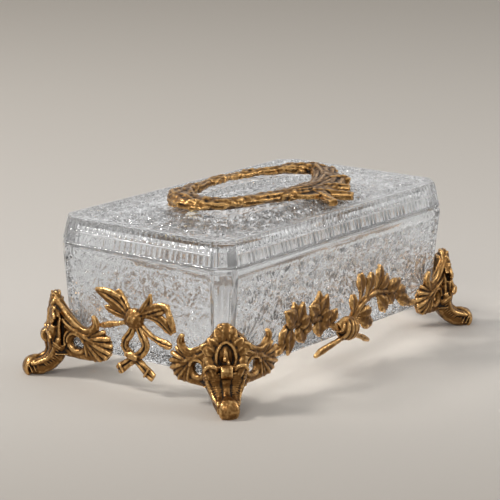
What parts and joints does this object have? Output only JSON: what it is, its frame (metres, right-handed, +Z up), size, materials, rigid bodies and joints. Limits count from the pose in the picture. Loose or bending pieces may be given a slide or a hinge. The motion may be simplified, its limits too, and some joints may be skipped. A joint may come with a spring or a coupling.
{
  "type": "jewelry box",
  "caption": "Rectangular cut-crystal jewelry box with clipped corners, lift-off lid with an oval branch handle, and cast brass feet, garlands and bows",
  "frame": {"origin": "on the table, under the middle of the box", "axes": "+X along the long side, +Y from the front to the back, +Z up"},
  "size_m": [0.2806, 0.1666, 0.1125],
  "materials": {
    "crystal": "cut and polished",
    "antique_brass": "antiqued casting",
    "soft_pad": "clear silicone"
  },
  "bodies": {
    "casket": {"glass_box": "crystal", "foot_front_left": "antique_brass", "foot_front_right": "antique_brass", "foot_back_right": "antique_brass", "foot_back_left": "antique_brass", "seat_pad_front_left": "soft_pad", "seat_pad_front_right": "soft_pad", "seat_pad_back_right": "soft_pad", "seat_pad_back_left": "soft_pad", "front_garland_left_sprig": "antique_brass", "front_garland_right_sprig": "antique_brass", "back_garland_left_sprig": "antique_brass", "back_garland_right_sprig": "antique_brass", "front_garland_binding": "antique_brass", "back_garland_binding": "antique_brass", "left_bow": "antique_brass", "right_bow": "antique_brass", "left_bow_tails": "antique_brass", "right_bow_tails": "antique_brass"},
    "lid": {"glass_lid": "crystal", "wreath_handle": "antique_brass", "wreath_studs": "antique_brass", "stud_washers": "soft_pad", "stud_nuts": "antique_brass"}
  },
  "joints": [
    {"name": "lid_lift", "type": "slide", "parent": "casket", "child": "lid", "axis": [0, 0, 1], "range_m": [0, 0.09]}
  ]
}
